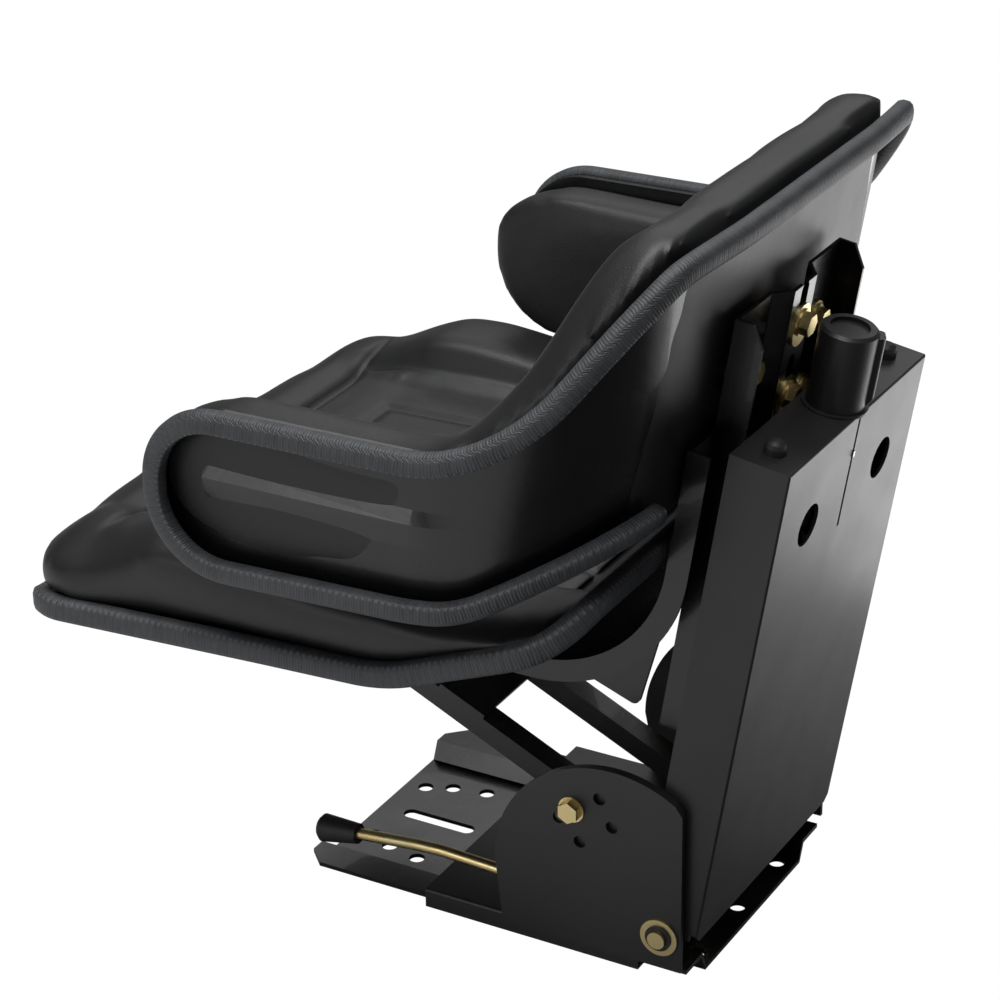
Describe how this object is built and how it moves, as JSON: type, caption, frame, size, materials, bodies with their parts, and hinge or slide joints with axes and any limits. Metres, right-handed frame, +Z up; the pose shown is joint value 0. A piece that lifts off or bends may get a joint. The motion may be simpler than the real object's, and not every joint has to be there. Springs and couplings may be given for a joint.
{
  "type": "tractor seat",
  "caption": "Wrap-around tractor seat on a leaning suspension box with weight knob, tilt plates, levelling arms and a fore-and-aft slide on a flat bolt-down base",
  "frame": {"origin": "middle bolt hole of the rear row, on the underside of the base plate", "axes": "+X to the sitter's left, +Y to the rear, +Z up"},
  "size_m": [0.492, 0.5183, 0.53],
  "materials": {
    "satin_black_coat": "satin black powder coat",
    "gloss_black_paint": "semi-gloss black paint on pressed sheet",
    "yellow_zinc": "yellow passivated zinc plate",
    "bright_steel": "bright zinc-plated steel",
    "black_rubber": "black moulded rubber",
    "black_vinyl": "fine-grain black vinyl over foam",
    "trim_strip": "dark grey PVC edge strip with fine cross serrations",
    "black_plastic": "black moulded plastic"
  },
  "bodies": {
    "base": {"base_plate": "gloss_black_paint"},
    "slide": {"upper_slide": "satin_black_coat", "glide_strips": "black_plastic", "side_plate_left": "satin_black_coat", "side_plate_right": "satin_black_coat", "pivot_shaft": "yellow_zinc", "pivot_washers": "yellow_zinc", "pivot_clips": "satin_black_coat", "tilt_bolts": "yellow_zinc", "tilt_nuts": "yellow_zinc", "lever_bracket": "satin_black_coat", "lever_pin": "yellow_zinc"},
    "lever": {"lever_rod": "yellow_zinc", "lever_grip": "black_rubber", "latch_tooth": "bright_steel"},
    "box": {"box_shell": "satin_black_coat", "tilt_plate_left": "satin_black_coat", "tilt_plate_right": "satin_black_coat", "roller_guides": "satin_black_coat", "top_bumpers": "black_rubber", "travel_stops": "black_rubber", "knob_washer": "satin_black_coat", "damper_body": "gloss_black_paint"},
    "knob": {"weight_knob": "black_plastic", "spindle": "bright_steel"},
    "anchor": {"spring_anchor": "bright_steel"},
    "carriage": {"roller_frame": "gloss_black_paint", "roller_axles": "bright_steel", "tension_springs": "bright_steel", "damper_rod": "bright_steel", "back_bracket": "gloss_black_paint", "spacer_tubes": "bright_steel", "seat_carrier": "gloss_black_paint", "gusset_plates": "gloss_black_paint", "bracket_bolts": "yellow_zinc", "bracket_washers": "yellow_zinc", "bracket_nuts": "yellow_zinc", "front_ears": "gloss_black_paint", "seat_pan": "gloss_black_paint", "seat_cushion": "black_vinyl", "seat_trim": "trim_strip", "back_pan": "gloss_black_paint", "back_pad": "black_vinyl", "back_trim": "trim_strip"},
    "lower_rollers": {"lower_rollers": "black_plastic"},
    "upper_rollers": {"upper_rollers": "black_plastic"},
    "arms": {"support_arms": "gloss_black_paint", "cross_plate": "gloss_black_paint", "arm_front_pin": "bright_steel"}
  },
  "joints": [
    {"name": "fore_and_aft", "type": "slide", "parent": "base", "child": "slide", "axis": [0, 1, 0], "range_m": [-0.09, 0.06]},
    {"name": "lever_lift", "type": "hinge", "parent": "slide", "child": "lever", "pos_m": [0.092, -0.05, 0.036], "axis": [1, 0, 0], "range_deg": [-10, 0], "stiffness_Nm_per_rad": 1.5, "springref_deg": 11.46},
    {"name": "seat_tilt", "type": "hinge", "parent": "slide", "child": "box", "pos_m": [0, -0.0031, 0.0425], "axis": [1, 0, 0], "range_deg": [-13.4, 7.6]},
    {"name": "seat_travel", "type": "slide", "parent": "box", "child": "carriage", "axis": [0, 0.163, 0.9866], "range_m": [-0.06, 0], "stiffness_N_per_m": 9000, "springref_m": 0.04, "deforming": ["tension_springs"]},
    {"name": "knob_turn", "type": "hinge", "parent": "box", "child": "knob", "pos_m": [0, 0.05727, 0.38342], "axis": [0, 0.163, 0.9866], "range_deg": [-2701, 1081]},
    {"name": "anchor_slide", "type": "slide", "parent": "box", "child": "anchor", "axis": [0, 0.163, 0.9866], "range_m": [-0.045, 0.018], "deforming": ["tension_springs"]},
    {"name": "lower_roll", "type": "hinge", "parent": "carriage", "child": "lower_rollers", "pos_m": [0, 0.01925, 0.1655], "axis": [1, 0, 0], "range_deg": [-290, 5]},
    {"name": "upper_roll", "type": "hinge", "parent": "carriage", "child": "upper_rollers", "pos_m": [0, 0.04532, 0.32336], "axis": [1, 0, 0], "range_deg": [-290, 5]},
    {"name": "arm_swing", "type": "hinge", "parent": "box", "child": "arms", "pos_m": [0, -0.0031, 0.0425], "axis": [1, 0, 0], "range_deg": [-0.2, 12.1]}
  ],
  "couplings": [
    {"joint": "knob_turn", "follows": "anchor_slide", "rad_per_m": 1047.2},
    {"joint": "lower_roll", "follows": "seat_travel", "rad_per_m": 83.333},
    {"joint": "upper_roll", "follows": "seat_travel", "rad_per_m": 83.333},
    {"joint": "arm_swing", "follows": "seat_travel", "rad_per_m": -3.485}
  ]
}
